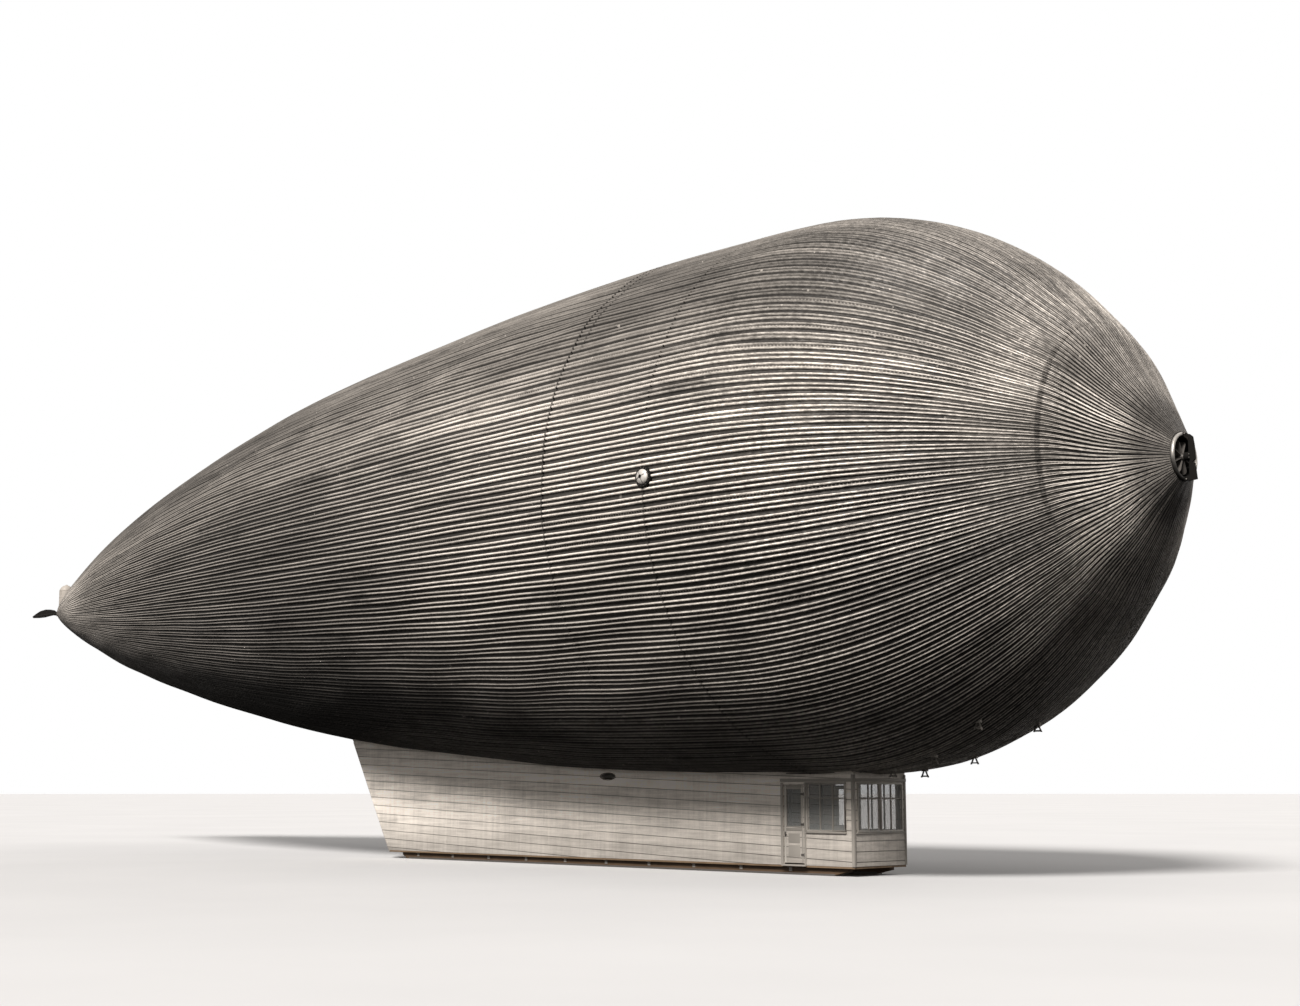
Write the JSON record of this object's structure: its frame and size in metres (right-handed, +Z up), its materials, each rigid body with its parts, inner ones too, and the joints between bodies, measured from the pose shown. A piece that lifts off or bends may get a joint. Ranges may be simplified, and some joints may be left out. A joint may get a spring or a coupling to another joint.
{
  "type": "metal-hulled airship, 1:2 scale model",
  "caption": "Teardrop airship with a lengthwise corrugated metal hull, a blower in the nose, a vane at the tail and a long keel car that it stands on.",
  "frame": {"origin": "on the ground under the middle of the overall length, on the centre plane, at the underside of the skids", "axes": "+X towards the nose along the hull's axis, +Y to the ship's left, +Z up"},
  "size_m": [33.99, 8.996, 10.3875],
  "materials": {
    "hull_plating": "weathered corrugated sheet",
    "band_metal": "weathered riveted strip",
    "bright_metal": "brushed, lightly tarnished",
    "dark_metal": "satin dark paint, worn edges",
    "car_plating": "dull sheet with lengthwise beads",
    "car_trim": "satin paint",
    "skid_wood": "dark oiled timber",
    "floor_boards": "planked, worn",
    "bench_wood": "varnished slats",
    "engine_iron": "rough",
    "window_glass": "clear"
  },
  "bodies": {
    "airframe": {"tail_cap": "dark_metal", "tail_cone": "hull_plating", "aft_envelope": "hull_plating", "mid_envelope": "hull_plating", "forward_envelope": "hull_plating", "nose_envelope": "hull_plating", "seam_band_aft": "band_metal", "seam_band_mid": "band_metal", "seam_band_nose": "band_metal", "nose_ring": "bright_metal", "blower_housing": "dark_metal", "bearing_bridge": "dark_metal", "tail_fork": "dark_metal", "tail_valve_hood": "bright_metal", "side_valve_right": "bright_metal", "side_valve_left": "bright_metal", "line_eye_right_1": "band_metal", "line_eye_right_2": "band_metal", "line_eye_right_3": "band_metal", "line_eye_left_1": "band_metal", "line_eye_left_2": "band_metal", "line_eye_left_3": "band_metal", "car_floor": "floor_boards", "car_wall_right": "car_plating", "car_wall_left": "car_plating", "car_stern_wall": "car_plating", "car_front_wall": "car_plating", "cabin_bulkhead": "car_plating", "skid_right": "skid_wood", "skid_left": "skid_wood", "side_glass_right": "window_glass", "side_glass_left": "window_glass", "front_glass_right": "window_glass", "front_glass_left": "window_glass", "bench_right": "bench_wood", "bench_left": "bench_wood", "power_plant": "engine_iron", "helm_stand": "dark_metal"},
    "blower": {"blower_wheel": "dark_metal"},
    "vane": {"tail_vane": "dark_metal"},
    "right_door": {"door_right": "car_trim", "door_glass_right": "window_glass"},
    "left_door": {"door_left": "car_trim", "door_glass_left": "window_glass"}
  },
  "joints": [
    {"name": "blower_spin", "type": "hinge", "parent": "airframe", "child": "blower", "pos_m": [16.645, 0, 5.8915], "axis": [1, 0, 0], "continuous": true},
    {"name": "vane_swing", "type": "hinge", "parent": "airframe", "child": "vane", "pos_m": [-15.585, 0, 5.8965], "axis": [0, 0, 1], "range_deg": [-25, 25]},
    {"name": "door_right_swing", "type": "hinge", "parent": "airframe", "child": "right_door", "pos_m": [10.39, -0.655, 0.79], "axis": [0, 0, 1], "range_deg": [0, 100]},
    {"name": "door_left_swing", "type": "hinge", "parent": "airframe", "child": "left_door", "pos_m": [10.39, 0.655, 0.79], "axis": [0, 0, -1], "range_deg": [0, 100]}
  ]
}
